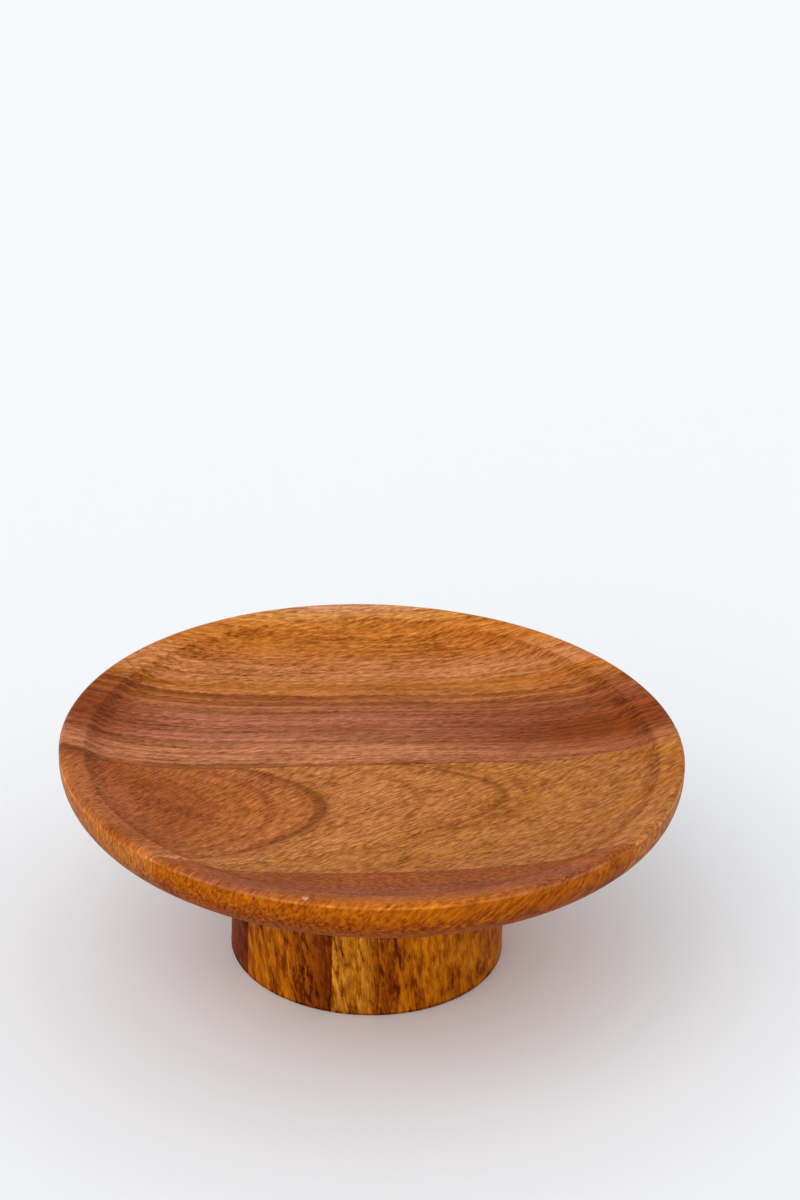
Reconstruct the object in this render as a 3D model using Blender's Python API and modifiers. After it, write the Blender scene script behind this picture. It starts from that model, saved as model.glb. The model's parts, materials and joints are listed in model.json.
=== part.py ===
"""Wooden cake stand: a dished round plate, glued up from four boards, on a turned drum pedestal.

The frame has +Z up, its origin at the centre of the pedestal's foot and +X along the plate's grain.
The plate is turned from four boards glued edge to edge.  The pedestal is turned from four upright slabs
and hollowed from below, and four countersunk screws go up through its web into the plate.
All sizes are in metres.
"""
import math

import bmesh
import bpy
from mathutils import Vector

# Overall sizes
STAND_HEIGHT = 0.1136
PLATE_DIAMETER = 0.3000
PEDESTAL_DIAMETER = 0.1345

# Plate
PLATE_THICKNESS = 0.0260          # crest of the rim to the flat underside
WELL_DEPTH = 0.0134               # crest of the rim to the middle of the well
WELL_FLAT_RADIUS = 0.0750
RIM_WIDTH = 0.0120
RIM_SLOPE = math.radians(15.5)    # the rim's top falls towards the well
RIM_CORNER = 0.0030               # rounding between the rim and the well's wall
WALL_RADIUS = 0.0280              # hollow curve at the top of the well's wall
WALL_SLOPE = math.radians(38)
CREST_ROUNDING = 0.0025
EDGE_ROUNDING = 0.0200            # large rounding under the outer edge
FRONT_BOARD_WIDTH = 0.0467        # in from the plate's front
BOARD_SEAMS = (-0.0020, 0.0795)   # the other two seams, from the middle
BOARD_NAMES = ("plate_board_front", "plate_board_middle_front", "plate_board_middle_rear", "plate_board_rear")

# Pedestal
PEDESTAL_WALL = 0.0156
WEB_THICKNESS = 0.0220
FOOT_ROUNDING = 0.0010
HOLLOW_FILLET = 0.0040
EDGE_SLAB_WIDTH = 0.0102          # in from the pedestal's left
SLAB_SEAMS = (-0.0160, 0.0165)    # the other two seams, from the middle
SLAB_TURN = math.radians(-6.4)    # the slabs' faces are turned from the boards' seams
SLAB_NAMES = ("pedestal_slab_edge", "pedestal_slab_left", "pedestal_slab_middle", "pedestal_slab_right")

# Screws, 8 gauge
SCREW_COUNT = 4
SCREW_FROM_WALL = 0.0166          # middle of a screw to the hollow's wall
SCREW_TURN = math.radians(45)
SCREW_LENGTH = 0.0300
SHANK_RADIUS = 0.0021
HEAD_RADIUS = 0.0040
HEAD_HEIGHT = 0.0026
HEAD_RIM = 0.0004
TIP_LENGTH = 0.0060
RECESS_LENGTH = 0.0044
RECESS_WIDTH = 0.0010
RECESS_DEPTH = 0.0014
SCREW_INSET = 0.0004              # head below the web's face

# Fits
GLUE_GAP = 0.0003
SCREW_CLEARANCE = 0.0003

# Smoothness: steps round a turning, and along each curve of a profile
TURNED_STEPS = 96
SCREW_STEPS = 20
HOLE_STEPS = 20
WELL_STEPS = 5
CORNER_STEPS = 2
CREST_STEPS = 4
EDGE_STEPS = 9
FOOT_STEPS = 3
FILLET_STEPS = 4
CUT_MARGIN = 0.0100               # how far a cutter runs past what it cuts
MERGE = 0.00001

PLATE_RADIUS = PLATE_DIAMETER / 2
PEDESTAL_RADIUS = PEDESTAL_DIAMETER / 2
PLATE_BOTTOM = STAND_HEIGHT - PLATE_THICKNESS
PEDESTAL_TOP = PLATE_BOTTOM - GLUE_GAP
WEB_BOTTOM = PEDESTAL_TOP - WEB_THICKNESS
HOLLOW_RADIUS = PEDESTAL_RADIUS - PEDESTAL_WALL
SCREW_CIRCLE_RADIUS = HOLLOW_RADIUS - SCREW_FROM_WALL

WOOD_COLOURS = {
    "plate_board_front": (0.45, 0.17, 0.06, 1),
    "plate_board_middle_front": (0.42, 0.18, 0.06, 1),
    "plate_board_middle_rear": (0.30, 0.10, 0.04, 1),
    "plate_board_rear": (0.42, 0.16, 0.04, 1),
    "pedestal_slab_edge": (0.22, 0.08, 0.02, 1),
    "pedestal_slab_left": (0.35, 0.15, 0.03, 1),
    "pedestal_slab_middle": (0.38, 0.17, 0.04, 1),
    "pedestal_slab_right": (0.36, 0.14, 0.02, 1),
}
STEEL_COLOUR = (0.72, 0.66, 0.48, 1)
PLATE_ROUGHNESS = 0.45
PEDESTAL_ROUGHNESS = 0.50
STEEL_ROUGHNESS = 0.30


def clear_scene():
    for old in list(bpy.data.objects):
        bpy.data.objects.remove(old, do_unlink=True)


def new_collection(name):
    collection = bpy.data.collections.new(name)
    bpy.context.scene.collection.children.link(collection)
    return collection


def material(name, colour, roughness, metallic=0.0):
    made = bpy.data.materials.new(name)
    made.use_nodes = True
    shader = made.node_tree.nodes["Principled BSDF"]
    shader.inputs["Base Color"].default_value = colour
    shader.inputs["Roughness"].default_value = roughness
    shader.inputs["Metallic"].default_value = metallic
    return made


def arc(centre, radius, start, end, steps):
    """Points (r, z) on a circle, from one direction to another, both counted from outwards."""
    angles = [start + (end - start) * i / steps for i in range(steps + 1)]
    return [(centre[0] + radius * math.cos(a), centre[1] + radius * math.sin(a)) for a in angles]


def line_object(name, points, collection):
    """An open profile in the XZ plane."""
    mesh = bpy.data.meshes.new(name)
    mesh.from_pydata([(r, 0, z) for r, z in points], [(i, i + 1) for i in range(len(points) - 1)], [])
    made = bpy.data.objects.new(name, mesh)
    collection.objects.link(made)
    return made


def add_turning(made, steps):
    """Turns the profile once round Z."""
    turning = made.modifiers.new("turn", "SCREW")
    turning.axis = "Z"
    turning.steps = steps
    turning.render_steps = steps
    turning.use_merge_vertices = True
    turning.merge_threshold = MERGE
    turning.use_smooth_shade = True


def add_boolean(made, cutter, operation):
    cut = made.modifiers.new(operation.lower() + "_" + cutter.name, "BOOLEAN")
    cut.operation = operation
    cut.solver = "EXACT"
    cut.object = cutter


def hide_cutter(cutter):
    cutter.hide_render = True
    cutter.display_type = "WIRE"
    return cutter


def box_cutter(name, low, high, collection):
    """A box between two corners."""
    low, high = Vector(low), Vector(high)
    mesh = bpy.data.meshes.new(name)
    shape = bmesh.new()
    bmesh.ops.create_cube(shape, size=1)
    bmesh.ops.scale(shape, vec=high - low, verts=shape.verts)
    bmesh.ops.translate(shape, vec=(low + high) / 2, verts=shape.verts)
    shape.to_mesh(mesh)
    shape.free()
    made = bpy.data.objects.new(name, mesh)
    collection.objects.link(made)
    return hide_cutter(made)


def well_points(corner_r, corner_z):
    """The well from the middle of its floor out to the wall's top at the rim's corner.

    A wide sweep leaves the flat floor level, and a tighter curve takes over at the slope where the two
    meet, so that together they reach the corner at the wall's slope.
    """
    floor_z = STAND_HEIGHT - WELL_DEPTH
    across = corner_r - WELL_FLAT_RADIUS - WALL_RADIUS * math.sin(WALL_SLOPE)
    up = corner_z - floor_z + WALL_RADIUS * math.cos(WALL_SLOPE)
    sweep = (across**2 + up**2 - WALL_RADIUS**2) / (2 * (up - WALL_RADIUS))
    meeting = math.asin(across / (sweep - WALL_RADIUS))
    down = -math.pi / 2
    wall_centre = (
        corner_r - WALL_RADIUS * math.sin(WALL_SLOPE),
        corner_z + WALL_RADIUS * math.cos(WALL_SLOPE),
    )
    points = [(0, floor_z)]
    points += arc((WELL_FLAT_RADIUS, floor_z + sweep), sweep, down, down + meeting, WELL_STEPS)
    points += arc(wall_centre, WALL_RADIUS, down + meeting, down + WALL_SLOPE, WELL_STEPS)[1:]
    return points


def plate_profile():
    """From the middle of the well out over the rim, down the side and back in below."""
    up = math.pi / 2
    crest_centre = (PLATE_RADIUS - CREST_ROUNDING, STAND_HEIGHT - CREST_ROUNDING)
    crest = arc(crest_centre, CREST_ROUNDING, up + RIM_SLOPE, up, 1)
    crest += arc(crest_centre, CREST_ROUNDING, up, 0, CREST_STEPS)[1:]

    corner_r = PLATE_RADIUS - RIM_WIDTH
    corner_z = crest[0][1] - (crest[0][0] - corner_r) * math.tan(RIM_SLOPE)
    corner_centre = (
        corner_r + RIM_CORNER * math.sin(RIM_SLOPE),
        corner_z - RIM_CORNER * math.cos(RIM_SLOPE),
    )
    corner = arc(corner_centre, RIM_CORNER, up + WALL_SLOPE, up + RIM_SLOPE, CORNER_STEPS)

    edge_centre = (PLATE_RADIUS - EDGE_ROUNDING, PLATE_BOTTOM + EDGE_ROUNDING)
    edge = arc(edge_centre, EDGE_ROUNDING, 0, -up, EDGE_STEPS)
    return well_points(*corner[0]) + corner[1:] + crest + edge + [(0, PLATE_BOTTOM)]


def pedestal_profile():
    """From the middle of the top out, down the side, round the foot and up the hollow."""
    down = -math.pi / 2
    foot_out = (PEDESTAL_RADIUS - FOOT_ROUNDING, FOOT_ROUNDING)
    foot_in = (HOLLOW_RADIUS + FOOT_ROUNDING, FOOT_ROUNDING)
    fillet = (HOLLOW_RADIUS - HOLLOW_FILLET, WEB_BOTTOM - HOLLOW_FILLET)
    points = [(0, PEDESTAL_TOP), (PEDESTAL_RADIUS, PEDESTAL_TOP)]
    points += arc(foot_out, FOOT_ROUNDING, 0, down, FOOT_STEPS)
    points += arc(foot_in, FOOT_ROUNDING, down, -math.pi, FOOT_STEPS)
    points += arc(fillet, HOLLOW_FILLET, 0, math.pi / 2, FILLET_STEPS)
    return points + [(0, WEB_BOTTOM)]


def screw_profile():
    """A countersunk screw standing on its head at z = 0, point up."""
    return [
        (0, SCREW_LENGTH),
        (SHANK_RADIUS, SCREW_LENGTH - TIP_LENGTH),
        (SHANK_RADIUS, HEAD_RIM + HEAD_HEIGHT),
        (HEAD_RADIUS, HEAD_RIM),
        (HEAD_RADIUS, 0),
        (0, 0),
    ]


def hole_profile():
    """The drilled and countersunk hole for one screw, open below its head."""
    drill_radius = SHANK_RADIUS + SCREW_CLEARANCE
    sink_radius = HEAD_RADIUS + SCREW_CLEARANCE
    end = SCREW_LENGTH + SCREW_CLEARANCE
    return [
        (0, end),
        (drill_radius, end),
        (drill_radius, HEAD_RIM + HEAD_HEIGHT + SCREW_CLEARANCE),
        (sink_radius, HEAD_RIM + SCREW_CLEARANCE),
        (sink_radius, -CUT_MARGIN),
        (0, -CUT_MARGIN),
    ]


def screw_places():
    """Where the screws' heads are, with the angle that each stands at."""
    z = WEB_BOTTOM + SCREW_INSET
    for i in range(SCREW_COUNT):
        angle = SCREW_TURN + 2 * math.pi * i / SCREW_COUNT
        yield (SCREW_CIRCLE_RADIUS * math.cos(angle), SCREW_CIRCLE_RADIUS * math.sin(angle), z), angle


def screw_holes(collection):
    """One cutter for each screw, from below the web up to the end of the hole in the plate."""
    made = []
    for number, (place, _) in enumerate(screw_places(), start=1):
        hole = line_object(f"screw_hole_{number}", hole_profile(), collection)
        hole.location = place
        add_turning(hole, HOLE_STEPS)
        made.append(hide_cutter(hole))
    return made


def strips(radius, first_width, seams):
    """The two edges of each strip across a round blank, with half the glue gap taken off at each seam."""
    edges = (-radius - CUT_MARGIN, first_width - radius, *seams, radius + CUT_MARGIN)
    return [(a + GLUE_GAP / 2, b - GLUE_GAP / 2) for a, b in zip(edges, edges[1:])]


def near(place, low, high, axis):
    """True if a screw's hole reaches into a strip."""
    reach = HEAD_RADIUS + SCREW_CLEARANCE
    return low - reach < Vector(place).dot(axis) < high + reach


def make_plate(parts, cutters, holes):
    """Each board is the whole turned plate, cut down to the strip between its seams."""
    half = PLATE_RADIUS + CUT_MARGIN
    floor, top = PLATE_BOTTOM - CUT_MARGIN, STAND_HEIGHT + CUT_MARGIN
    for name, (low, high) in zip(BOARD_NAMES, strips(PLATE_RADIUS, FRONT_BOARD_WIDTH, BOARD_SEAMS)):
        board = line_object(name, plate_profile(), parts)
        add_turning(board, TURNED_STEPS)
        cutter = box_cutter(name + "_cut", (-half, low, floor), (half, high, top), cutters)
        add_boolean(board, cutter, "INTERSECT")
        for hole in holes:
            if near(hole.location, low, high, Vector((0, 1, 0))):
                add_boolean(board, hole, "DIFFERENCE")
        board.data.materials.append(material(name, WOOD_COLOURS[name], PLATE_ROUGHNESS))


def make_pedestal(parts, cutters, holes):
    """Each slab is the whole turned drum, cut down to the upright strip between its seams."""
    half = PEDESTAL_RADIUS + CUT_MARGIN
    across = Vector((math.cos(SLAB_TURN), math.sin(SLAB_TURN), 0))
    for name, (low, high) in zip(SLAB_NAMES, strips(PEDESTAL_RADIUS, EDGE_SLAB_WIDTH, SLAB_SEAMS)):
        slab = line_object(name, pedestal_profile(), parts)
        add_turning(slab, TURNED_STEPS)
        corner, opposite = (low, -half, -CUT_MARGIN), (high, half, PEDESTAL_TOP + CUT_MARGIN)
        cutter = box_cutter(name + "_cut", corner, opposite, cutters)
        cutter.rotation_euler.z = SLAB_TURN
        add_boolean(slab, cutter, "INTERSECT")
        for hole in holes:
            if near(hole.location, low, high, across):
                add_boolean(slab, hole, "DIFFERENCE")
        slab.data.materials.append(material(name, WOOD_COLOURS[name], PEDESTAL_ROUGHNESS))


def make_screws(parts, cutters):
    """Each screw has a cross recess, cut by two bars at right angles."""
    steel = material("screw_steel", STEEL_COLOUR, STEEL_ROUGHNESS, metallic=1.0)
    for number, (place, angle) in enumerate(screw_places(), start=1):
        screw = line_object(f"plate_screw_{number}", screw_profile(), parts)
        screw.location = place
        screw.rotation_euler.z = angle
        add_turning(screw, SCREW_STEPS)
        for turn in (0, math.pi / 2):
            half = Vector((RECESS_LENGTH / 2, RECESS_WIDTH / 2, RECESS_DEPTH))
            bar = box_cutter(f"recess_{number}", -half, half, cutters)
            bar.location = place
            bar.rotation_euler.z = angle + turn
            add_boolean(screw, bar, "DIFFERENCE")
        screw.data.materials.append(steel)


def main():
    clear_scene()
    parts = new_collection("cake_stand")
    cutters = new_collection("cutters")
    holes = screw_holes(cutters)
    make_plate(parts, cutters, holes)
    make_pedestal(parts, cutters, holes)
    make_screws(parts, cutters)


main()
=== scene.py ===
"""The looks of a wooden cake stand: turned boards and slabs with solid wood grain, and wood screws.

Every size is in metres and in the stand's own frame: +Z up, the origin at the middle of the foot, and
the plate's grain along X.  The wood's patterns are solid: they are worked out at each point in space, in
millimetres, so that they run through a board from its face to its side and its end grain.
"""
import json
import math
from collections import namedtuple
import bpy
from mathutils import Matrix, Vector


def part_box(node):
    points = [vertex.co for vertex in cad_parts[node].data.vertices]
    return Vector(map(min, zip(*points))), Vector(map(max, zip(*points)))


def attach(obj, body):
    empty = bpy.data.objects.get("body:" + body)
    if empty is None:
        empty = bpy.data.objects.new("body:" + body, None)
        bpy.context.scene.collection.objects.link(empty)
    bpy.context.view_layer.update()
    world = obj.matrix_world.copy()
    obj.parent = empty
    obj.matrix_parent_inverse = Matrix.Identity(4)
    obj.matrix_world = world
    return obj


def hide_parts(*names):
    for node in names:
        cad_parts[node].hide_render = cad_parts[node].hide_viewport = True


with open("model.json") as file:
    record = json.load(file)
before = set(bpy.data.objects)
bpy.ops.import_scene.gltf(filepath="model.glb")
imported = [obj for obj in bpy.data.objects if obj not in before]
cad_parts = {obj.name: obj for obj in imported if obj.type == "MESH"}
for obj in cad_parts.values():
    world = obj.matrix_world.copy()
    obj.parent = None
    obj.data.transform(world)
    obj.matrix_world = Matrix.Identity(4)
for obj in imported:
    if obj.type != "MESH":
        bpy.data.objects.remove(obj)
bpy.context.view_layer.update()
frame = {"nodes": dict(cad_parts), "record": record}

from types import SimpleNamespace

import bmesh
import bpy
from mathutils import Matrix, Vector, noise

MM = 0.001

# The camera: an 85 mm lens on a 36 mm frame, at the photograph's angle
CAMERA_AZIMUTH = math.radians(-6.4)
CAMERA_REACH = 1.1952
CAMERA_HEIGHT = 0.7660
CAMERA_PITCH = math.radians(25.81)
CAMERA_YAW = math.radians(-0.52)
CAMERA_ROLL = math.radians(1.95)
LENS = 85
SENSOR = 36

# Pieces of the stand, and the directions across the boards and across the slabs
BOARDS = ("plate_board_front", "plate_board_middle_front", "plate_board_middle_rear", "plate_board_rear")
SLABS = ("pedestal_slab_edge", "pedestal_slab_left", "pedestal_slab_middle", "pedestal_slab_right")
SCREWS = ("plate_screw_1", "plate_screw_2", "plate_screw_3", "plate_screw_4")
SLAB_TURN = math.radians(-6.4)
ACROSS_BOARDS = Vector((0, 1, 0))
ACROSS_SLABS = Vector((math.cos(SLAB_TURN), math.sin(SLAB_TURN), 0))

# Sizes read from the frame
PLATE_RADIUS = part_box(BOARDS[1])[1].x
PLATE_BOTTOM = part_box(BOARDS[1])[0].z
STAND_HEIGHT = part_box(BOARDS[1])[1].z
PEDESTAL_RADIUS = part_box(SLABS[3])[1].x
SCREW_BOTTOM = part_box(SCREWS[0])[0].z
SCREW_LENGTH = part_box(SCREWS[0])[1].z - SCREW_BOTTOM
FLOOR_OF_WELL = next(m for m in frame["record"]["mounts"] if m["name"] == "cake_seat")["pos_m"][2]

# The plate's outline
WELL_FLAT_RADIUS = 0.0750
RIM_WIDTH = 0.0120
RIM_SLOPE = math.radians(15.5)
RIM_CORNER = 0.0030
WALL_RADIUS = 0.0280
WALL_SLOPE = math.radians(38)
CREST_ROUNDING = 0.0025
EDGE_ROUNDING = 0.0200

# The pedestal's outline
PEDESTAL_WALL = 0.0156
FOOT_ROUNDING = 0.0010
TOP_ROUNDING = 0.0004
HOLLOW_FILLET = 0.0040
SCREW_INSET = 0.0004
WEB_BOTTOM = SCREW_BOTTOM - SCREW_INSET
HOLLOW_RADIUS = PEDESTAL_RADIUS - PEDESTAL_WALL

# The screws
SHANK_RADIUS = 0.0021
PLAIN_RADIUS = 0.9 * SHANK_RADIUS   # the plain shank, rolled thinner than the thread
CORE_RADIUS = 0.0015
HEAD_RADIUS = 0.0040
HEAD_HEIGHT = 0.0026
HEAD_RIM = 0.0004
THREAD_PITCH = 0.0018
THREAD_SHARPNESS = 1.6
TIP_LENGTH = 0.0060
PLAIN_SHANK = 0.0090
RECESS_LENGTH = 0.0044
RECESS_WIDTH = 0.0010
RECESS_DEPTH = 0.0014
RECESS_TAPER = 0.55                 # the recess's size at its deepest
HOLE_CLEARANCE = 0.0003
HOLE_OVERRUN = 0.0020               # how far a cutter starts below the screw's head

# Smoothness: steps round a turning and along the curves of an outline, and the longest stretches
PLATE_STEPS = 540
PEDESTAL_STEPS = 600
HOLE_STEPS = 48
SCREW_STEPS = 40
SCREW_ROWS = 200
FLOOR_STEPS = 96
SWEEP_STEPS = 16
WALL_STEPS = 14
CREST_STEPS = 14
CORNER_STEPS = 6
EDGE_STEPS = 26
SHOULDER_STEPS = 3
FOOT_STEPS = 5
INNER_FOOT_STEPS = 4
FILLET_STEPS = 8
TOP_STRETCH = 0.0040
UNDERSIDE_STRETCH = 0.0200
SIDE_STRETCH = 0.0013
HOLLOW_STRETCH = 0.0060
WEB_STRETCH = 0.0150
SHARP_FROM = math.radians(35)       # edges that turn more than this stay sharp

# Hand finishing: how far sanding and turning sink the skin, and how many waves there are in a metre
RIM_WANDER = 0.00035
RIM_WAVES = 18
RIM_SLICE = 4                       # the slice of the solid noise that the rim reads
WELL_WANDER = 0.00015
WELL_WAVES = 40
TURNING_WAVES = 90
UNTOUCHED = 0.02                    # the share of the plate's height that keeps its true shape
FADE_IN = 4.0                       # finishing is full at a quarter of the plate's height
CHIP_ANGLE = math.radians(-107)
CHIP_RADIUS = 0.0018
CHIP_DEPTH = 0.0006
SIDE_RIPPLE = 0.00035               # the pedestal's side
FINE_RIPPLES = (420, 45)            # across and along the grain
BROAD_RIPPLES = (90, 12)
FLUTES = 110                        # shallow upright flutes round the whole drum
FLUTE_WANDER = 5.0
FINE_SHARE = 0.55                   # of the ripple's depth
BROAD_SHARE = 0.25
FLUTE_SHARE = 0.20

# Stage and light
FLOOR_COLOUR = (0.895, 0.905, 0.918, 1)
FLOOR_RADIUS = 40
FLOOR_ROUGHNESS = 0.8
FLOOR_GLOSS = 0.1
SKY_COLOUR = (0.96, 0.98, 1.0, 1)
SKY_FRONT = 0.82
SKY_BACK = 1.10
SKY_TOP = 0.80                      # of the horizon's brightness
LIGHT_FROM = (-0.80, -0.80, 0.75)
LIGHT_SPREAD = math.radians(75)
LIGHT_STRENGTH = 1.30


# ---------------------------------------------------------------- shapes

def arc(centre, radius, start, end, steps):
    """Points (r, z) on a circle, from one direction to another, both counted from outwards."""
    angles = [start + (end - start) * i / steps for i in range(steps + 1)]
    return [(centre[0] + radius * math.cos(a), centre[1] + radius * math.sin(a)) for a in angles]


def fill_in(points, longest):
    """The same outline with no stretch longer than the given length."""
    filled = [points[0]]
    for (r0, z0), (r1, z1) in zip(points, points[1:]):
        parts = max(1, math.ceil(math.hypot(r1 - r0, z1 - z0) / longest))
        filled += [(r0 + (r1 - r0) * i / parts, z0 + (z1 - z0) * i / parts) for i in range(1, parts + 1)]
    return filled


def well_points(corner_r, corner_z):
    """The well from its middle out to the wall's top: a wide sweep, then a tighter curve."""
    across = corner_r - WELL_FLAT_RADIUS - WALL_RADIUS * math.sin(WALL_SLOPE)
    up = corner_z - FLOOR_OF_WELL + WALL_RADIUS * math.cos(WALL_SLOPE)
    sweep = (across**2 + up**2 - WALL_RADIUS**2) / (2 * (up - WALL_RADIUS))
    meeting = math.asin(across / (sweep - WALL_RADIUS))
    down = -math.pi / 2
    wall_centre = (
        corner_r - WALL_RADIUS * math.sin(WALL_SLOPE),
        corner_z + WALL_RADIUS * math.cos(WALL_SLOPE),
    )
    sweep_centre = (WELL_FLAT_RADIUS, FLOOR_OF_WELL + sweep)
    points = [(0, FLOOR_OF_WELL)]
    points += arc(sweep_centre, sweep, down, down + meeting, SWEEP_STEPS)
    points += arc(wall_centre, WALL_RADIUS, down + meeting, down + WALL_SLOPE, WALL_STEPS)[1:]
    return points


def plate_outline():
    """From the middle of the well out over the rim, down the side and back in below."""
    up = math.pi / 2
    crest_centre = (PLATE_RADIUS - CREST_ROUNDING, STAND_HEIGHT - CREST_ROUNDING)
    crest = arc(crest_centre, CREST_ROUNDING, up + RIM_SLOPE, 0, CREST_STEPS)
    corner_r = PLATE_RADIUS - RIM_WIDTH
    corner_z = crest[0][1] - (crest[0][0] - corner_r) * math.tan(RIM_SLOPE)
    corner_centre = (
        corner_r + RIM_CORNER * math.sin(RIM_SLOPE),
        corner_z - RIM_CORNER * math.cos(RIM_SLOPE),
    )
    corner = arc(corner_centre, RIM_CORNER, up + WALL_SLOPE, up + RIM_SLOPE, CORNER_STEPS)
    edge_centre = (PLATE_RADIUS - EDGE_ROUNDING, PLATE_BOTTOM + EDGE_ROUNDING)
    edge = arc(edge_centre, EDGE_ROUNDING, 0, -up, EDGE_STEPS)
    top = fill_in(well_points(*corner[0]) + corner[1:] + crest + edge, TOP_STRETCH)
    return top + fill_in([edge[-1], (0, PLATE_BOTTOM)], UNDERSIDE_STRETCH)[1:]


def pedestal_outline(top):
    """From the middle of the top out, down the side, round the foot and up the hollow."""
    down = -math.pi / 2
    shoulder_centre = (PEDESTAL_RADIUS - TOP_ROUNDING, top - TOP_ROUNDING)
    foot_centre = (PEDESTAL_RADIUS - FOOT_ROUNDING, FOOT_ROUNDING)
    inner_centre = (HOLLOW_RADIUS + FOOT_ROUNDING, FOOT_ROUNDING)
    fillet_centre = (HOLLOW_RADIUS - HOLLOW_FILLET, WEB_BOTTOM - HOLLOW_FILLET)
    shoulder = arc(shoulder_centre, TOP_ROUNDING, -down, 0, SHOULDER_STEPS)
    foot = arc(foot_centre, FOOT_ROUNDING, 0, down, FOOT_STEPS)
    inner = arc(inner_centre, FOOT_ROUNDING, down, -math.pi, INNER_FOOT_STEPS)
    fillet = arc(fillet_centre, HOLLOW_FILLET, 0, -down, FILLET_STEPS)
    side = fill_in([shoulder[-1], foot[0]], SIDE_STRETCH)
    hollow = fill_in([inner[-1], fillet[0]], HOLLOW_STRETCH)
    web = fill_in([fillet[-1], (0, WEB_BOTTOM)], WEB_STRETCH)
    return [(0, top)] + shoulder + side[1:] + foot[1:] + inner + hollow[1:] + fillet[1:] + web[1:]


def join_rings(shape, rings, steps):
    """Faces between rings of points, from the top down; a ring of one point is a pole."""
    for high, low in zip(rings, rings[1:]):
        for i in range(steps):
            j = (i + 1) % steps
            if len(high) == 1:
                shape.faces.new((high[0], low[i], low[j]))
            elif len(low) == 1:
                shape.faces.new((high[i], low[0], high[j]))
            else:
                shape.faces.new((high[i], low[i], low[j], high[j]))
    shape.normal_update()


def turned(outline, steps):
    """A closed body: an outline that starts and ends on the axis, turned once round Z."""
    shape = bmesh.new()
    rings = []
    angles = [2 * math.pi * i / steps for i in range(steps)]
    for r, z in outline:
        if r == 0:
            rings.append([shape.verts.new((0, 0, z))])
        else:
            rings.append([shape.verts.new((r * math.cos(a), r * math.sin(a), z)) for a in angles])
    join_rings(shape, rings, steps)
    return shape


def cut_strip(shape, across, low, high):
    """A copy of a body between two planes, closed where they cut it."""
    strip = shape.copy()
    for side, sign in ((low, -1), (high, 1)):
        everything = strip.verts[:] + strip.edges[:] + strip.faces[:]
        bmesh.ops.bisect_plane(
            strip, geom=everything, plane_co=across * side, plane_no=across * sign, clear_outer=True
        )
        edges = [e for e in strip.edges if e.is_boundary]
        bmesh.ops.holes_fill(strip, edges=edges, sides=0)
    return strip


def reach(node, across):
    """How far a CAD node goes along a direction, from its lowest to its highest."""
    along = [v.co.dot(across) for v in frame["nodes"][node].data.vertices]
    return min(along), max(along)


def seams(nodes, across):
    """The low and high side of each strip: they meet at the middle of each glue gap."""
    beyond = 1.0
    sides = [reach(node, across) for node in nodes]
    middles = [(a[1] + b[0]) / 2 for a, b in zip(sides, sides[1:])]
    return list(zip([-beyond, *middles], [*middles, beyond]))


def smooth_noise(x, y, z):
    """Soft noise from 0 to 1."""
    return 0.5 + 0.5 * noise.noise(Vector((x, y, z)))


def finish_plate(shape):
    """Moves the turned plate's skin inwards a little, as hand sanding leaves it."""
    crest = PLATE_RADIUS - CREST_ROUNDING / 2
    chip = Vector((
        crest * math.cos(CHIP_ANGLE),
        crest * math.sin(CHIP_ANGLE),
        STAND_HEIGHT - CREST_ROUNDING / 2,
    ))
    for vert in shape.verts:
        x, y, z = vert.co
        r = math.hypot(x, y)
        above = (z - PLATE_BOTTOM) / (STAND_HEIGHT - PLATE_BOTTOM)
        if above < UNTOUCHED:
            continue
        on_rim = max(0, 1 - abs(r - (PLATE_RADIUS - RIM_WIDTH / 2)) / RIM_WIDTH)
        sink = RIM_WANDER * on_rim * smooth_noise(x * RIM_WAVES, y * RIM_WAVES, RIM_SLICE)
        sink += WELL_WANDER * smooth_noise(x * WELL_WAVES, y * WELL_WAVES, r * TURNING_WAVES)
        away = (vert.co - chip).length / CHIP_RADIUS
        sink += CHIP_DEPTH * max(0, 1 - away**2)
        vert.co -= vert.normal * sink * min(1, above * FADE_IN)


def finish_pedestal(shape):
    """Upright ripples on the drum's side, where its coarse grain was sanded."""
    for vert in shape.verts:
        x, y, z = vert.co
        if math.hypot(x, y) < PEDESTAL_RADIUS - FOOT_ROUNDING or z < FOOT_ROUNDING:
            continue
        fine, broad = (
            smooth_noise(x * across, y * across, z * along) for across, along in (FINE_RIPPLES, BROAD_RIPPLES)
        )
        flute = 0.5 + 0.5 * math.cos(math.atan2(y, x) * FLUTES + FLUTE_WANDER * broad)
        sink = SIDE_RIPPLE * (FINE_SHARE * fine + BROAD_SHARE * broad + FLUTE_SHARE * flute)
        vert.co -= Vector((x, y, 0)).normalized() * sink


def to_object(shape, name):
    """Ends the editing of a shape: it becomes a smoothly shaded object of the scene."""
    mesh = bpy.data.meshes.new(name)
    shape.to_mesh(mesh)
    shape.free()
    mesh.shade_smooth()
    mesh.set_sharp_from_angle(angle=SHARP_FROM)
    made = bpy.data.objects.new(name, mesh)
    bpy.context.scene.collection.objects.link(made)
    return made


def stands_for(piece, node):
    """Puts a finished piece in a CAD node's place."""
    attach(piece, "root")
    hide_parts(node)


# ---------------------------------------------------------------- screws

def screw_place(node):
    """The middle of the face of a CAD screw's head."""
    low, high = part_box(node)
    return Vector(((low.x + high.x) / 2, (low.y + high.y) / 2, low.z))


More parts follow.
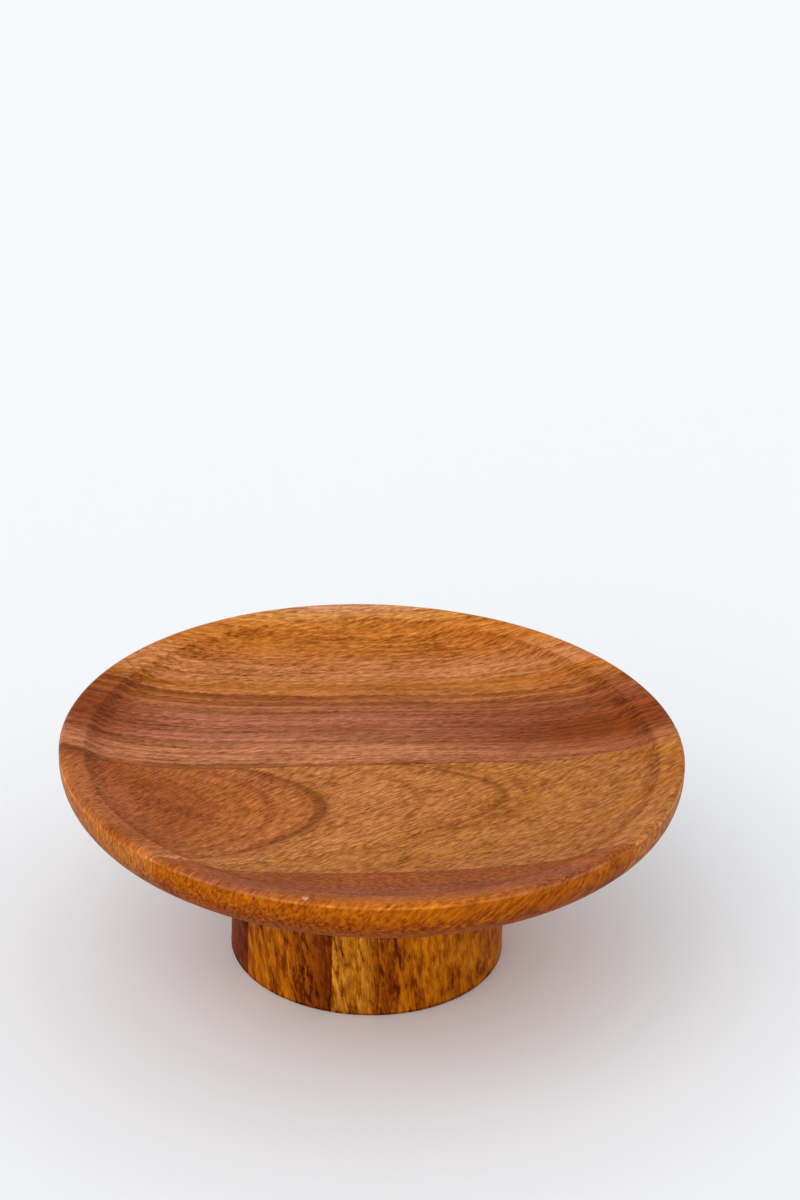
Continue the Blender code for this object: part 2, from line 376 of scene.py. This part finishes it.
def hole_outline():
    """The drilled and countersunk hole of one screw, from its end down to below its head."""
    end = SCREW_LENGTH + HOLE_CLEARANCE
    shank, head = SHANK_RADIUS + HOLE_CLEARANCE, HEAD_RADIUS + HOLE_CLEARANCE
    return [
        (0, end),
        (shank, end),
        (shank, HEAD_RIM + HEAD_HEIGHT + HOLE_CLEARANCE),
        (head, HEAD_RIM + HOLE_CLEARANCE),
        (head, -HOLE_OVERRUN),
        (0, -HOLE_OVERRUN),
    ]


def hole_cutters():
    """One object with the holes of all the screws."""
    joined = bmesh.new()
    for node in SCREWS:
        hole = turned(hole_outline(), HOLE_STEPS)
        hole.transform(Matrix.Translation(screw_place(node)))
        mesh = bpy.data.meshes.new("hole")
        hole.to_mesh(mesh)
        hole.free()
        joined.from_mesh(mesh)
        bpy.data.meshes.remove(mesh)
    return to_object(joined, "screw_holes")


def cut_away(piece, cutter):
    """Takes a cutter's shape out of a piece, and keeps the result as the piece's own mesh."""
    cut = piece.modifiers.new("cut", "BOOLEAN")
    cut.operation = "DIFFERENCE"
    cut.solver = "EXACT"
    cut.object = cutter
    bpy.context.view_layer.update()
    shape = bmesh.new()
    shape.from_object(piece, bpy.context.evaluated_depsgraph_get())
    piece.modifiers.clear()
    shape.to_mesh(piece.data)
    shape.free()
    piece.data.set_sharp_from_angle(angle=SHARP_FROM)


def thread_radius(z, around):
    """The screw's radius at a height above its head's face: head, plain shank, thread and point."""
    if z <= HEAD_RIM:
        return HEAD_RADIUS
    if z <= HEAD_RIM + HEAD_HEIGHT:
        return HEAD_RADIUS + (SHANK_RADIUS - HEAD_RADIUS) * (z - HEAD_RIM) / HEAD_HEIGHT
    if z <= PLAIN_SHANK:
        return PLAIN_RADIUS
    taper = min(1, (SCREW_LENGTH - z) / TIP_LENGTH)
    turn = z / THREAD_PITCH - around / (2 * math.pi)
    ridge = max(0, 1 - abs(2 * (turn % 1) - 1) * THREAD_SHARPNESS)
    return taper * (CORE_RADIUS + (SHANK_RADIUS - CORE_RADIUS) * ridge)


def screw_shape():
    """A screw on its head at z = 0, point up, as rings whose radius follows the thread."""
    shape = bmesh.new()
    rows = [SCREW_LENGTH * i / SCREW_ROWS for i in range(SCREW_ROWS)]
    heights = sorted({HEAD_RIM, HEAD_RIM + HEAD_HEIGHT, *rows})
    angles = [2 * math.pi * i / SCREW_STEPS for i in range(SCREW_STEPS)]
    rings = [[shape.verts.new((0, 0, SCREW_LENGTH))]]
    for z in reversed(heights):
        radii = [thread_radius(z, a) for a in angles]
        rings.append([shape.verts.new((r * math.cos(a), r * math.sin(a), z)) for r, a in zip(radii, angles)])
    rings.append([shape.verts.new((0, 0, 0))])
    join_rings(shape, rings, SCREW_STEPS)
    return shape


def recess_cutter(turn, place):
    """A tapered cross that cuts the driver's recess from below."""
    half, arm = RECESS_WIDTH / 2, RECESS_LENGTH / 2
    corner = [(half, arm), (half, half), (arm, half)]
    cross = []
    for quarter in range(4):
        spin = Matrix.Rotation(-quarter * math.pi / 2, 2)
        cross += [spin @ Vector(p) for p in corner]
    shape = bmesh.new()
    levels = ((RECESS_DEPTH, RECESS_TAPER), (0, 1), (-RECESS_DEPTH, 1))
    rings = [[shape.verts.new((p.x * grow, p.y * grow, z)) for p in cross] for z, grow in levels]
    join_rings(shape, rings, len(cross))
    shape.faces.new(rings[0])
    shape.faces.new(reversed(rings[-1]))
    bmesh.ops.recalc_face_normals(shape, faces=shape.faces[:])
    shape.transform(Matrix.Translation(place) @ Matrix.Rotation(turn, 4, "Z"))
    return to_object(shape, "recess")


# ---------------------------------------------------------------- making the pieces

def make_strips(body, nodes, across, cutter, materials):
    """Cuts a turned body into the strips that stand for CAD nodes, with screw holes and wood."""
    for node, (low, high), wood_of_strip in zip(nodes, seams(nodes, across), materials):
        strip = to_object(cut_strip(body, across, low, high), node.split("_", 1)[1])
        cut_away(strip, cutter)
        strip.data.materials.append(wood_of_strip)
        stands_for(strip, node)
    body.free()


def make_boards(cutter):
    """The plate, turned in one and cut into its boards."""
    plate = turned(plate_outline(), PLATE_STEPS)
    finish_plate(plate)
    woods = [front_board_wood(), middle_front_board_wood(), middle_rear_board_wood(), rear_board_wood()]
    make_strips(plate, BOARDS, ACROSS_BOARDS, cutter, woods)


def make_slabs(cutter):
    """The pedestal, turned in one and cut into its slabs."""
    drum = turned(pedestal_outline(PLATE_BOTTOM), PEDESTAL_STEPS)
    finish_pedestal(drum)
    woods = [pedestal_edge_wood(), pedestal_left_wood(), pedestal_middle_wood(), pedestal_right_wood()]
    make_strips(drum, SLABS, ACROSS_SLABS, cutter, woods)


def make_screws(steel):
    """Four screws in their CAD places, each with its recess turned to face the middle."""
    for node in SCREWS:
        place = screw_place(node)
        turn = math.atan2(place.y, place.x)
        shape = screw_shape()
        shape.transform(Matrix.Translation(place) @ Matrix.Rotation(turn, 4, "Z"))
        screw = to_object(shape, node.split("_", 1)[1])
        recess = recess_cutter(turn, place)
        cut_away(screw, recess)
        bpy.data.objects.remove(recess)
        screw.data.materials.append(steel)
        stands_for(screw, node)


# ---------------------------------------------------------------- how the wood looks

# What a board's wood is like unless its own function says otherwise
PLATE_LOOK = {
    "upright": False,               # the grain runs along X
    "slope": math.radians(12),      # the fibres' turn sideways,
    "rise": math.radians(12),       # and up through the board
    "curl": 0.0,                    # how fast they curve at the left end, per millimetre
    "wander": 3.0,                  # millimetres that soft noise bends the rings,
    "jagged": 2.0,                  # and that flecks push them about
    "lines_per_mm": 0.45,           # streaks to a millimetre across the rings
    "fleck_size": (4.6, 1.3),       # length and width in millimetres
    "streaks": 0.80,                # strengths, as changes of tone
    "flecks": 0.80,
    "fibres": 0.50,
    "blotches": 0.55,
    "pores": 0.28,
    "roughness": 0.45,
    "gloss": 0.045,
    "side": None,                   # a colour of its own for the side,
    "chip": None,                   # for the fresh wood in the chip,
    "dark_colour": None,            # and for the zones of dark wood
    "dark_zones": (),
}

# What the pedestal's coarser wood is like
PEDESTAL_LOOK = {
    **PLATE_LOOK,
    "upright": True,
    "slope": math.radians(-7),
    "wander": 6.0,
    "jagged": 9.0,
    "lines_per_mm": 0.26,
    "fleck_size": (10.0, 2.6),
    "streaks": 1.6,
    "flecks": 1.0,
    "fibres": 0.6,
    "blotches": 1.2,
    "pores": 0.35,
    "roughness": 0.5,
    "gloss": 0.03,
}

# A zone of dark wood: the ring at its middle, how far it reaches to each side of that ring, and the places
# along the board where it starts to darken and where it is fully dark
DarkZone = namedtuple("DarkZone", "ring half_width starts full")

# Sizes of the patterns that every wood has: length and width in millimetres
FIBRE_SIZE = (15, 0.7)
PORE_SIZE = (3.2, 0.40)
BLOTCH_SIZE = (26, 11)
BEND_SIZE = (160, 28)
DEPTH_SHARE = 0.5                   # patterns are twice as deep as they are wide
STREAK_ALONG = 0.007                # how fast streaks change along the grain, per millimetre,
STREAK_THROUGH = 0.03               # and through the board
BLOTCH_BEND = 0.6                   # the blotches' share in bending the rings
FLECK_RANGE = (0.28, 0.72)          # the part of the noise that becomes 0 to 1: a narrow one is crisp
FIBRE_RANGE = (0.25, 0.75)
PORE_RANGE = (0.60, 0.72)
PATCH_RANGE = (0.35, 0.65)
CURL_FROM = -20.0                   # fibres curl to the left of this, in millimetres
FIBRE_HEIGHT = 0.4                  # what each pattern adds to the surface's relief
FLECK_HEIGHT = 0.4
PORE_HEIGHT = -0.8
BUMP_STRENGTH = 0.4
BUMP_DEPTH = 0.0002
FIBRE_ROUGHNESS = 0.25
PORE_ROUGHNESS = 0.20

# How the three parts of a colour follow its tone: blue leaves dark wood first, which keeps it orange
DARKEST = 0.05
GREEN_POWER = 1.4
DARK_BLUE_POWER = 3.2
PALE_BLUE_POWER = 1.7

# Arched rings, in millimetres: the line of their tips, their opening, and the last one that narrows
ARCH_AXIS = -35.0
ARCH_LEAN = 0.065
ARCH_OPENING = 18.3
ARCH_NARROWING = 0.1035
ARCH_SKEW = 0.104
LAST_NARROWING = 70.0

# Places on the plate, in millimetres, and fades between two of them: from no effect to the full effect
TOP = STAND_HEIGHT / MM
CREST = (PLATE_RADIUS - CREST_ROUNDING) / MM
CORNER = (PLATE_RADIUS - RIM_WIDTH) / MM
EDGE_TOP = TOP - 2.2
OVER_CREST = (CREST + 0.5, CREST + 1.3)
BELOW_EDGE = (EDGE_TOP, TOP - 3.2)
UNDER_RIM_RADIUS = (CREST - 12, CREST - 9)
UNDER_RIM_HEIGHT = (TOP - 3, TOP - 6)
OUT_OF_WELL = (CORNER - 0.6, CORNER + 1.0)
UP_THE_WALL = (CORNER - 14, CORNER - 2)
WALL_TOP = (CORNER + 1, CORNER - 1)
UPPER_PART = (TOP - 9, TOP - 5)
LOW_SIDE_RADIUS = (CORNER - 2, CORNER)
LOW_SIDE_HEIGHT = (TOP - 7, TOP - 15)
AT_THE_EDGE = (1.0, 0.2)            # from the edge, up or down
FOOT_SHADOW = (2.6, 0.6)            # above the floor

# Painted light and shade at those places, as changes of tone, and how the rim's painted light and the wall's
# painted shade change at the board ends, where end grain shows
RIM_PAINTED_LIGHT = 0.13
RIM_END_GRAIN = -0.09
WALL_PAINTED_SHADE = -0.05
WALL_END_GRAIN = -0.17
# Painted shade on the plate's side, deeper low down where it curves under
SIDE_PAINTED_SHADE = -0.06
LOW_SIDE_PAINTED_SHADE = -0.24
# Painted contact shadow at the pedestal's foot
FOOT_SHADOW_TONE = -0.45
EDGE_HIGHLIGHT = (0.15, 0.50)            # the least and the most of the painted highlight along the crest's edge: it is broken into patches
HIGHLIGHT_PATCH = (9, 9)                 # millimetres


def shade(red, green, blue):
    """A colour as a screen shows it, from 0 to 255, made linear."""
    def linear(value):
        value /= 255
        return value / 12.92 if value <= 0.04045 else ((value + 0.055) / 1.055) ** 2.4
    return (linear(red), linear(green), linear(blue), 1)


class Shader:
    """A new material, with short calls for the nodes that the patterns are made of."""

    def __init__(self, name):
        self.material = bpy.data.materials.new(name)
        self.material.use_nodes = True
        self.tree = self.material.node_tree
        self.surface = self.tree.nodes["Principled BSDF"]

    def node(self, kind, *values, **settings):
        """A node with its settings made and its inputs filled in order; None leaves an input alone."""
        made = self.tree.nodes.new("ShaderNode" + kind)
        for name, value in settings.items():
            setattr(made, name, value)
        for value, socket in zip(values, made.inputs):
            self.put(value, socket)
        return made

    def put(self, value, socket):
        """Links an output to a socket, or sets the socket to a plain value."""
        if isinstance(value, bpy.types.NodeSocket):
            self.tree.links.new(value, socket)
        elif value is not None:
            socket.default_value = value

    def give(self, name, value):
        """Sets or links an input of the surface."""
        self.put(value, self.surface.inputs[name])

    def math(self, operation, *values):
        return self.node("Math", *values, operation=operation).outputs[0]

    def add(self, *values):
        total = values[0]
        for value in values[1:]:
            total = self.math("ADD", total, value)
        return total

    def times(self, *values):
        total = values[0]
        for value in values[1:]:
            total = self.math("MULTIPLY", total, value)
        return total

    def spread(self, value, low, high, to_low=0.0, to_high=1.0, interpolation="SMOOTHSTEP"):
        """A value from one range, moved smoothly to another and held at its ends."""
        made = self.node("MapRange", value, low, high, to_low, to_high, interpolation_type=interpolation)
        return made.outputs[0]

    def swing(self, value, gain):
        """Noise moved to lie around zero, and scaled."""
        return self.times(self.add(value, -0.5), gain)

    def vector(self, x, y, z):
        return self.node("CombineXYZ", x, y, z).outputs[0]

    def millimetres(self):
        """The coordinates of each point of the object, in millimetres."""
        point = self.node("TexCoord").outputs["Object"]
        scaled = self.node("VectorMath", point, (1 / MM,) * 3, operation="MULTIPLY").outputs[0]
        return self.node("SeparateXYZ", scaled).outputs

    def noise(self, vector, detail=2.0, roughness=0.5):
        scale = 1.0
        return self.node("TexNoise", vector, None, scale, detail, roughness).outputs["Fac"]

    def ramp(self, value, stops):
        """A colour from a value: stops are (value, colour)."""
        first, last = stops[0][0], stops[-1][0]
        made = self.node("ValToRGB", self.spread(value, first, last, interpolation="LINEAR"))
        elements = made.color_ramp.elements
        while len(elements) < len(stops):
            elements.new(0.5)
        for element, (at, colour) in zip(elements, stops):
            element.position = (at - first) / (last - first)
            element.color = colour
        return made.outputs["Color"]

    def mix(self, factor, first, second, blend="MIX"):
        made = self.tree.nodes.new("ShaderNodeMix")
        made.data_type = "RGBA"
        made.blend_type = blend
        self.put(factor, made.inputs[0])
        self.put(first, made.inputs[6])
        self.put(second, made.inputs[7])
        return made.outputs[2]

    def stain(self, colour, tone):
        """A colour made darker and warmer below a tone of 1, and lighter and paler above it."""
        tone = self.math("MAXIMUM", tone, DARKEST)
        green = self.math("POWER", tone, GREEN_POWER)
        dark_blue = self.math("POWER", tone, DARK_BLUE_POWER)
        pale_blue = self.math("POWER", tone, PALE_BLUE_POWER)
        tint = self.node("CombineColor", tone, green, self.math("MINIMUM", dark_blue, pale_blue))
        return self.mix(1.0, colour, tint.outputs[0], "MULTIPLY")

    def bump(self, height, strength, depth):
        made = self.node("Bump")
        self.put(strength, made.inputs["Strength"])
        self.put(depth, made.inputs["Distance"])
        self.put(height, made.inputs["Height"])
        self.give("Normal", made.outputs[0])


def grain_space(s, upright):
    """Millimetres along, across and through the grain, at each point of the stand."""
    x, y, z = s.millimetres()
    if not upright:
        return x, y, z
    cos, sin = ACROSS_SLABS.x, ACROSS_SLABS.y
    across = s.add(s.times(x, cos), s.times(y, sin))
    through = s.add(s.times(x, -sin), s.times(y, cos))
    return z, across, through


def leaning(s, grain, look):
    """The grain's axes with the fibres turned: sideways, upwards, and curling at one end."""
    along, across, through = grain
    left = s.math("MAXIMUM", s.add(s.times(along, -1.0), CURL_FROM), 0.0)
    curled = s.times(left, left, look.curl / 2)
    turned_across = s.add(across, s.times(along, -math.tan(look.slope)), curled)
    return along, turned_across, s.add(through, s.times(along, -math.tan(look.rise)))


def stretched_noise(s, grain, size, detail=2.0, roughness=0.5):
    """Noise whose spots are so many millimetres long and wide."""
    along, across, through = grain
    length, width = size
    stretched = s.vector(
        s.times(along, 1 / length), s.times(across, 1 / width), s.times(through, DEPTH_SHARE / width)
    )
    return s.noise(stretched, detail, roughness)


def arches(s, along, across):
    """Arched rings of a flat-sawn board: each ring's value is where its tip is along the board.

    Ring F is the parabola along = F - from_axis**2 / (2 * opening), whose opening narrows steadily up to
    the last ring that narrows, and is the same from there on.
    """
    from_axis = s.add(across, s.times(along, -ARCH_LEAN), -ARCH_AXIS)
    squared = s.times(from_axis, from_axis)
    last_opening = ARCH_OPENING - ARCH_NARROWING * LAST_NARROWING
    outer = s.add(along, s.times(squared, 0.5 / last_opening))

    squeezed = s.times(along, ARCH_NARROWING)
    room = s.math("SUBTRACT", ARCH_OPENING, squeezed)
    under = s.math("SUBTRACT", s.times(room, room), s.times(squared, 2 * ARCH_NARROWING))
    root = s.math("SQRT", s.math("MAXIMUM", under, 0.0))
    inner = s.times(s.math("SUBTRACT", s.add(squeezed, ARCH_OPENING), root), 0.5 / ARCH_NARROWING)
    is_outer = s.math("GREATER_THAN", outer, LAST_NARROWING)
    ring = s.add(inner, s.times(is_outer, s.math("SUBTRACT", outer, inner)))
    return s.add(ring, s.times(from_axis, ARCH_SKEW))


def lines(drift):
    """Straight rings, which move so many millimetres sideways for each one along the grain."""
    return lambda s, along, across: s.add(across, s.times(along, drift))


def outside(s, r, z):
    """1 on the plate's side and underneath, 0 in the well, on the rim and over the crest."""
    over_crest = s.times(s.spread(z, *BELOW_EDGE), s.spread(r, *OVER_CREST))
    under_rim = s.times(s.spread(z, *UNDER_RIM_HEIGHT), s.spread(r, *UNDER_RIM_RADIUS))
    return s.math("MAXIMUM", over_crest, under_rim)


def chipped(s, grain):
    """1 on the fresh wood inside the small chip on the crest."""
    centre = (CREST * math.cos(CHIP_ANGLE), CREST * math.sin(CHIP_ANGLE), TOP)
    away = s.node("VectorMath", s.vector(*grain), centre, operation="DISTANCE").outputs["Value"]
    return s.spread(away, CHIP_RADIUS / MM, 0.5 * CHIP_RADIUS / MM)


def painted_light_and_shade(s, grain, r, on_side):
    """Painted light and shade that follow the plate's shape: a lighter rim, a darker wall, a broken highlight
    along the crest's edge, and a darker side, darkest low down where it curves under; at the board ends,
    where end grain shows, the rim gets less painted light and the wall deeper painted shade.
    """
    x, y, z = grain
    end_grain = s.math("DIVIDE", s.times(x, x), s.times(r, r))
    # Painted light: the rim is painted lighter, a little less at the board ends, where end grain shows
    rim = s.times(s.spread(r, *OUT_OF_WELL), s.add(RIM_PAINTED_LIGHT, s.times(end_grain, RIM_END_GRAIN)))
    # Painted shade: the well's wall is painted darker, deeper at the board ends, where end grain shows
    on_wall = s.times(s.spread(r, *UP_THE_WALL), s.spread(r, *WALL_TOP))
    wall = s.times(on_wall, s.add(WALL_PAINTED_SHADE, s.times(end_grain, WALL_END_GRAIN)))
    # Painted highlight: a light line along the crest's edge, broken into patches
    near_edge = s.spread(s.math("ABSOLUTE", s.add(z, -EDGE_TOP)), *AT_THE_EDGE)
    patchy = s.spread(stretched_noise(s, grain, HIGHLIGHT_PATCH), *PATCH_RANGE, *EDGE_HIGHLIGHT)
    edge = s.times(near_edge, s.spread(r, *OVER_CREST), patchy)
    upper = s.times(s.spread(z, *UPPER_PART), s.add(rim, wall, edge))
    # Painted shade: the side is painted darker, darkest low down where it curves under
    low_side_shade = s.times(s.spread(r, *LOW_SIDE_RADIUS), s.spread(z, *LOW_SIDE_HEIGHT), LOW_SIDE_PAINTED_SHADE)
    return s.add(upper, s.times(on_side, SIDE_PAINTED_SHADE), low_side_shade)


def painted_foot_shadow(s, height):
    """Painted contact shadow: the pedestal is darker where its foot meets the floor."""
    return s.times(s.spread(height, *FOOT_SHADOW), FOOT_SHADOW_TONE)


def wood(name, figure, stops, look=PLATE_LOOK, **changes):
    """Solid wood: colours and streaks that follow the rings, flecks, fibres, pores and a satin surface."""
    look = SimpleNamespace(**{**look, **changes})
    s = Shader(name)
    grain = grain_space(s, look.upright)
    along, across, through = grain
    fibrous = leaning(s, grain, look)

    fleck = s.spread(stretched_noise(s, fibrous, look.fleck_size, 3.0, 0.6), *FLECK_RANGE)
    fibre = s.spread(stretched_noise(s, fibrous, FIBRE_SIZE, 3.0, 0.6), *FIBRE_RANGE)
    pore = s.spread(stretched_noise(s, fibrous, PORE_SIZE, 1.0), *PORE_RANGE)
    blotch = stretched_noise(s, grain, BLOTCH_SIZE)
    slow = stretched_noise(s, grain, BEND_SIZE)

    drift = s.add(s.swing(slow, look.wander * 2), s.swing(blotch, look.wander * BLOTCH_BEND))
    ring = figure(s, along, s.add(across, s.add(drift, s.swing(fleck, look.jagged))))
    streaky = s.vector(
        s.times(ring, look.lines_per_mm), s.times(along, STREAK_ALONG), s.times(through, STREAK_THROUGH)
    )
    streak = s.noise(streaky, 5.0, 0.7)

    colour = s.ramp(ring, stops)
    for zone in look.dark_zones:
        inside = s.spread(s.math("ABSOLUTE", s.add(ring, -zone.ring)), zone.half_width, 0.0)
        colour = s.mix(s.times(inside, s.spread(along, zone.starts, zone.full)), colour, look.dark_colour)
    # Painted light and shade from the shape: a painted contact shadow at the pedestal's foot, and on the
    # plate painted light, shade and a crest highlight
    if look.upright:
        painted_tone = painted_foot_shadow(s, along)
    else:
        r = s.math("SQRT", s.add(s.times(along, along), s.times(across, across)))
        on_side = outside(s, r, through)
        painted_tone = painted_light_and_shade(s, grain, r, on_side)
        if look.side:
            colour = s.mix(on_side, colour, look.side)
    if look.chip:
        colour = s.mix(chipped(s, grain), colour, look.chip)

    tone = s.add(
        1.0,
        s.swing(streak, look.streaks),
        s.swing(fibre, look.fibres),
        s.swing(fleck, look.flecks),
        s.swing(blotch, look.blotches),
        s.times(pore, -look.pores),
        painted_tone,
    )
    s.give("Base Color", s.stain(colour, tone))
    rough = s.add(look.roughness, s.swing(fibre, FIBRE_ROUGHNESS), s.times(pore, PORE_ROUGHNESS))
    relief = s.add(s.times(fibre, FIBRE_HEIGHT), s.times(fleck, FLECK_HEIGHT), s.times(pore, PORE_HEIGHT))
    s.give("Roughness", rough)
    s.give("Specular IOR Level", look.gloss)
    s.bump(relief, BUMP_STRENGTH, BUMP_DEPTH)
    return s.material


# ---------------------------------------------------------------- materials
# A wood's stops are colours at rings.  Straight rings are counted in millimetres from the stand's middle,
# and arched ones by where their tips are along the board.


def front_board_wood():
    return wood("front_board_wood", lines(0.015), [
        (-150, shade(172, 90, 24)),
        # The rim's and wall's bluer stops, -141 to -122, are partly the wood's own tint and partly a painted
        # sheen
        (-141, shade(158, 82, 32)),
        (-133, shade(147, 76, 42)),
        (-122, shade(145, 75, 45)),
        (-112, shade(152, 76, 26)),
        (-103, shade(146, 74, 34)),
    ], rise=math.radians(40), flecks=0.65, gloss=0.03, side=shade(163, 81, 3), chip=shade(188, 134, 110))


def middle_front_board_wood():
    return wood("middle_front_board_wood", arches, [
        (-190, shade(180, 102, 50)),
        (-128, shade(170, 91, 41)),
        (-110, shade(155, 77, 27)),
        (-90, shade(152, 73, 20)),
        (-84, shade(166, 87, 33)),
        (-80, shade(151, 72, 23)),
        (-75, shade(171, 91, 35)),
        (-66, shade(164, 87, 33)),
        (-62, shade(173, 94, 38)),
        (-54, shade(171, 92, 37)),
        (-51, shade(155, 77, 28)),
        (-47, shade(172, 95, 44)),
        (-38, shade(180, 102, 50)),
        (-32, shade(168, 91, 38)),
        (-28, shade(130, 66, 12)),
        (-26, shade(136, 72, 16)),
        (-22, shade(181, 108, 53)),
        (16, shade(184, 111, 57)),
        (21, shade(168, 98, 34)),
        (25, shade(183, 110, 56)),
        (54, shade(177, 104, 45)),
        (60, shade(138, 76, 14)),
        (63, shade(174, 103, 42)),
        (76, shade(162, 93, 30)),
        (80, shade(177, 106, 44)),
        (128, shade(174, 105, 50)),
        (146, shade(170, 98, 28)),
        (160, shade(172, 102, 44)),
        (180, shade(171, 101, 46)),
    ], slope=math.radians(30), curl=0.006, wander=2.5, side=shade(172, 96, 32))


def middle_rear_board_wood():
    return wood("middle_rear_board_wood", lines(0.03), [
        (-3, shade(134, 68, 26)),
        (-1, shade(146, 78, 36)),
        (2, shade(181, 108, 68)),
        (16, shade(185, 112, 76)),
        (21, shade(151, 85, 52)),
        (25, shade(169, 98, 65)),
        (36, shade(153, 85, 55)),
        (44, shade(169, 96, 64)),
        (52, shade(149, 82, 51)),
        (58, shade(169, 96, 56)),
        (62, shade(132, 66, 22)),
        (65, shade(172, 97, 48)),
        (69, shade(145, 76, 26)),
        (72, shade(177, 102, 48)),
        (80, shade(172, 94, 30)),
    ], jagged=0.9, streaks=2.4, flecks=0.5, dark_colour=shade(128, 55, 4), dark_zones=(
        DarkZone(ring=29, half_width=46, starts=0, full=112),
        DarkZone(ring=44, half_width=58, starts=-88, full=-140),
    ))


def rear_board_wood():
    return wood("rear_board_wood", lines(0.015), [
        (79, shade(172, 96, 26)),
        (84, shade(186, 112, 62)),
        (98, shade(190, 114, 64)),
        (112, shade(183, 104, 38)),
        (130, shade(191, 110, 40)),
        # Painted reflection: the rim's paler, bluer stops at 137 and 150 are a painted sheen on the rear rim
        (137, shade(193, 121, 54)),
        (150, shade(188, 127, 92)),
    ], jagged=1.2, streaks=1.6, flecks=0.60)


def pedestal_wood(name, stops, **changes):
    return wood(name, lines(0.06), stops, PEDESTAL_LOOK, **changes)


def pedestal_edge_wood():
    return pedestal_wood("pedestal_edge_wood", [
        (-72, shade(150, 74, 3)),
        (-67, shade(128, 56, 2)),
        (-63, shade(104, 38, 2)),
        (-57, shade(100, 36, 2)),
    ])


def pedestal_left_wood():
    return pedestal_wood("pedestal_left_wood", [
        (-58, shade(160, 82, 3)),
        (-40, shade(166, 88, 4)),
        (-32, shade(156, 78, 3)),
        (-29, shade(84, 28, 2)),
        (-26, shade(140, 66, 3)),
        (-22, shade(128, 58, 3)),
        (-19, shade(84, 28, 2)),
        (-14, shade(112, 46, 2)),
    ])


def pedestal_middle_wood():
    return pedestal_wood("pedestal_middle_wood", [
        (-18, shade(160, 88, 10)),
        (-13, shade(182, 112, 32)),
        (-4, shade(166, 92, 10)),
        (2, shade(178, 108, 26)),
        (6, shade(160, 84, 6)),
        (9, shade(100, 38, 2)),
        (12, shade(152, 76, 6)),
        (15, shade(104, 40, 2)),
        (19, shade(150, 74, 4)),
    ])


def pedestal_right_wood():
    return pedestal_wood("pedestal_right_wood", [
        (14, shade(150, 74, 3)),
        (22, shade(170, 90, 4)),
        (40, shade(172, 92, 6)),
        (68, shade(166, 88, 6)),
    ], streaks=0.9, flecks=0.8)


def zinc_steel():
    """Yellow zinc plate: brushed along the screw, with a slightly uneven colour."""
    s = Shader("zinc_steel")
    x, y, z = s.millimetres()
    uneven, brushed, along = 0.5, 6.0, 1.2      # changes to a millimetre
    stain = s.noise(s.vector(s.times(x, uneven), s.times(y, uneven), s.times(z, uneven)), 3.0, 0.6)
    scratch = s.noise(s.vector(s.times(x, brushed), s.times(y, brushed), s.times(z, along)))
    pale, deep = shade(212, 192, 142), shade(196, 158, 92)
    s.give("Base Color", s.mix(s.spread(stain, *PATCH_RANGE), pale, deep))
    s.give("Metallic", 1.0)
    s.give("Roughness", s.add(0.28, s.times(scratch, 0.22)))
    s.bump(scratch, 0.2, 0.00005)
    return s.material


# ---------------------------------------------------------------- stage, lights and camera

def add_floor():
    """A plain pale floor, and not part of the object."""
    shape = bmesh.new()
    bmesh.ops.create_circle(shape, cap_ends=True, radius=FLOOR_RADIUS, segments=FLOOR_STEPS)
    floor = to_object(shape, "floor")
    s = Shader("pale_floor")
    s.give("Base Color", FLOOR_COLOUR)
    s.give("Roughness", FLOOR_ROUGHNESS)
    s.give("Specular IOR Level", FLOOR_GLOSS)
    floor.data.materials.append(s.material)


def add_light():
    """One large soft light, from the left and in front."""
    lamp = bpy.data.lights.new("soft_light", "SUN")
    lamp.energy = LIGHT_STRENGTH
    lamp.angle = LIGHT_SPREAD
    made = bpy.data.objects.new("soft_light", lamp)
    made.rotation_euler = Vector(LIGHT_FROM).to_track_quat("Z", "Y").to_euler()
    bpy.context.scene.collection.objects.link(made)


def add_sky():
    """Soft light from all round, brightest low down behind the stand, as from a white wall."""
    world = bpy.data.worlds.new("studio")
    world.use_nodes = True
    bpy.context.scene.world = world
    nodes, links = world.node_tree.nodes, world.node_tree.links
    axes = nodes.new("ShaderNodeSeparateXYZ")
    links.new(nodes.new("ShaderNodeTexCoord").outputs["Generated"], axes.inputs[0])
    both = nodes.new("ShaderNodeMath")
    both.operation = "MULTIPLY"
    for place, axis, start, low, high in ((0, "Y", -1, SKY_FRONT, SKY_BACK), (1, "Z", 0, 1, SKY_TOP)):
        ramp = nodes.new("ShaderNodeMapRange")
        ramp.inputs["From Min"].default_value = start
        ramp.inputs["To Min"].default_value = low
        ramp.inputs["To Max"].default_value = high
        links.new(axes.outputs[axis], ramp.inputs["Value"])
        links.new(ramp.outputs[0], both.inputs[place])
    sky = nodes["Background"]
    sky.inputs["Color"].default_value = SKY_COLOUR
    links.new(both.outputs[0], sky.inputs["Strength"])


def add_camera():
    """The camera stands back from the stand, turned round it, and is aimed down, sideways and rolled."""
    lens = bpy.data.cameras.new("camera")
    lens.lens = LENS
    lens.sensor_width = SENSOR
    camera = bpy.data.objects.new("camera", lens)
    turn = Matrix.Rotation(CAMERA_AZIMUTH, 4, "Z")
    aim = Matrix.Rotation(CAMERA_YAW, 4, "Z") @ Matrix.Rotation(math.pi / 2 - CAMERA_PITCH, 4, "X")
    place = Matrix.Translation((0, -CAMERA_REACH, CAMERA_HEIGHT))
    camera.matrix_world = turn @ place @ aim @ Matrix.Rotation(CAMERA_ROLL, 4, "Z")
    bpy.context.scene.collection.objects.link(camera)
    bpy.context.scene.camera = camera


def main():
    bpy.context.scene.view_settings.view_transform = "Standard"
    add_camera()
    add_floor()
    add_sky()
    add_light()
    cutter = hole_cutters()
    make_boards(cutter)
    make_slabs(cutter)
    bpy.data.objects.remove(cutter)
    make_screws(zinc_steel())


main()
